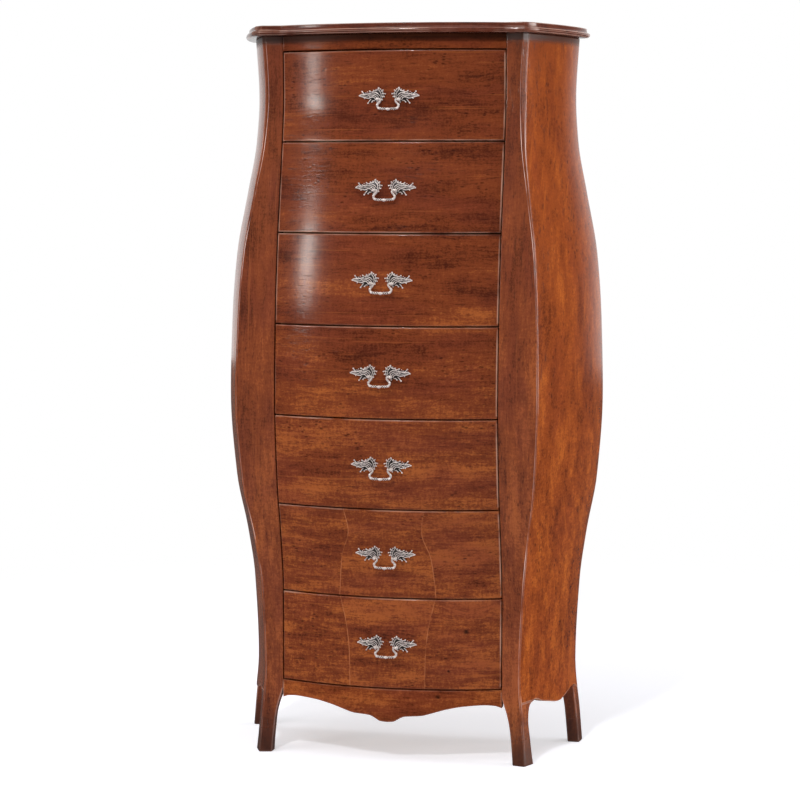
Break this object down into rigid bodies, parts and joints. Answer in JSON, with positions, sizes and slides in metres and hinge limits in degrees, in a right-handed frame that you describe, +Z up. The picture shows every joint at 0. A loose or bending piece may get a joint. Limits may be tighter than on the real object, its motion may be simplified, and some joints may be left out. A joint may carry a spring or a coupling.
{
  "type": "semainier",
  "caption": "Tall narrow chest with seven bow-fronted bombé drawers, shaped apron, splayed legs and hanging bail handles.",
  "frame": {"origin": "on the floor under the middle of the whole piece's box", "axes": "+Z up, +Y to the back, +X to the right of someone facing the drawers"},
  "size_m": [0.7456, 0.3338, 1.4],
  "materials": {
    "drawer_cherry": "aged reddish-brown cherry veneer, satin lacquer, horizontal grain",
    "carcass_cherry": "aged reddish-brown cherry veneer, satin lacquer, vertical grain",
    "inner_wood": "plain secondary wood, thin shellac",
    "antique_silver": "cast relief with antique silver plating, dark in the recesses"
  },
  "bodies": {
    "carcass": {"top_board": "carcass_cherry", "frieze_rail": "carcass_cherry", "front_apron": "carcass_cherry", "left_side_panel": "carcass_cherry", "right_side_panel": "carcass_cherry", "left_front_post": "carcass_cherry", "right_front_post": "carcass_cherry", "left_rear_post": "carcass_cherry", "right_rear_post": "carcass_cherry", "back_panel": "inner_wood", "rear_rail": "inner_wood", "bottom_board": "inner_wood", "dust_board_1": "inner_wood", "dust_board_2": "inner_wood", "dust_board_3": "inner_wood", "dust_board_4": "inner_wood", "dust_board_5": "inner_wood", "dust_board_6": "inner_wood"},
    "drawer_1": {"drawer_1_front": "drawer_cherry", "drawer_1_box": "inner_wood", "drawer_1_bottom": "inner_wood", "drawer_1_left_rosette": "antique_silver", "drawer_1_right_rosette": "antique_silver"},
    "drawer_2": {"drawer_2_front": "drawer_cherry", "drawer_2_box": "inner_wood", "drawer_2_bottom": "inner_wood", "drawer_2_left_rosette": "antique_silver", "drawer_2_right_rosette": "antique_silver"},
    "drawer_3": {"drawer_3_front": "drawer_cherry", "drawer_3_box": "inner_wood", "drawer_3_bottom": "inner_wood", "drawer_3_left_rosette": "antique_silver", "drawer_3_right_rosette": "antique_silver"},
    "drawer_4": {"drawer_4_front": "drawer_cherry", "drawer_4_box": "inner_wood", "drawer_4_bottom": "inner_wood", "drawer_4_left_rosette": "antique_silver", "drawer_4_right_rosette": "antique_silver"},
    "drawer_5": {"drawer_5_front": "drawer_cherry", "drawer_5_box": "inner_wood", "drawer_5_bottom": "inner_wood", "drawer_5_left_rosette": "antique_silver", "drawer_5_right_rosette": "antique_silver"},
    "drawer_6": {"drawer_6_front": "drawer_cherry", "drawer_6_box": "inner_wood", "drawer_6_bottom": "inner_wood", "drawer_6_left_rosette": "antique_silver", "drawer_6_right_rosette": "antique_silver"},
    "drawer_7": {"drawer_7_front": "drawer_cherry", "drawer_7_box": "inner_wood", "drawer_7_bottom": "inner_wood", "drawer_7_left_rosette": "antique_silver", "drawer_7_right_rosette": "antique_silver"},
    "bail_1": {"drawer_1_bail": "antique_silver"},
    "bail_2": {"drawer_2_bail": "antique_silver"},
    "bail_3": {"drawer_3_bail": "antique_silver"},
    "bail_4": {"drawer_4_bail": "antique_silver"},
    "bail_5": {"drawer_5_bail": "antique_silver"},
    "bail_6": {"drawer_6_bail": "antique_silver"},
    "bail_7": {"drawer_7_bail": "antique_silver"}
  },
  "joints": [
    {"name": "drawer_1_slide", "type": "slide", "parent": "carcass", "child": "drawer_1", "axis": [0, -1, 0], "range_m": [0, 0.12]},
    {"name": "bail_1_swing", "type": "hinge", "parent": "drawer_1", "child": "bail_1", "pos_m": [0, -0.09047, 1.25952], "axis": [-1, 0, 0], "range_deg": [0, 90]},
    {"name": "drawer_2_slide", "type": "slide", "parent": "carcass", "child": "drawer_2", "axis": [0, -1, 0], "range_m": [0, 0.13]},
    {"name": "bail_2_swing", "type": "hinge", "parent": "drawer_2", "child": "bail_2", "pos_m": [0, -0.11973, 1.09049], "axis": [-1, 0, 0], "range_deg": [0, 90]},
    {"name": "drawer_3_slide", "type": "slide", "parent": "carcass", "child": "drawer_3", "axis": [0, -1, 0], "range_m": [0, 0.155]},
    {"name": "bail_3_swing", "type": "hinge", "parent": "drawer_3", "child": "bail_3", "pos_m": [0, -0.14944, 0.91858], "axis": [-1, 0, 0], "range_deg": [0, 90]},
    {"name": "drawer_4_slide", "type": "slide", "parent": "carcass", "child": "drawer_4", "axis": [0, -1, 0], "range_m": [0, 0.17]},
    {"name": "bail_4_swing", "type": "hinge", "parent": "drawer_4", "child": "bail_4", "pos_m": [0, -0.16286, 0.7459], "axis": [-1, 0, 0], "range_deg": [0, 90]},
    {"name": "drawer_5_slide", "type": "slide", "parent": "carcass", "child": "drawer_5", "axis": [0, -1, 0], "range_m": [0, 0.16]},
    {"name": "bail_5_swing", "type": "hinge", "parent": "drawer_5", "child": "bail_5", "pos_m": [0, -0.15484, 0.57178], "axis": [-1, 0, 0], "range_deg": [0, 90]},
    {"name": "drawer_6_slide", "type": "slide", "parent": "carcass", "child": "drawer_6", "axis": [0, -1, 0], "range_m": [0, 0.135]},
    {"name": "bail_6_swing", "type": "hinge", "parent": "drawer_6", "child": "bail_6", "pos_m": [0, -0.12014, 0.3978], "axis": [-1, 0, 0], "range_deg": [0, 90]},
    {"name": "drawer_7_slide", "type": "slide", "parent": "carcass", "child": "drawer_7", "axis": [0, -1, 0], "range_m": [0, 0.135]},
    {"name": "bail_7_swing", "type": "hinge", "parent": "drawer_7", "child": "bail_7", "pos_m": [0, -0.1105, 0.225], "axis": [-1, 0, 0], "range_deg": [0, 90]}
  ]
}
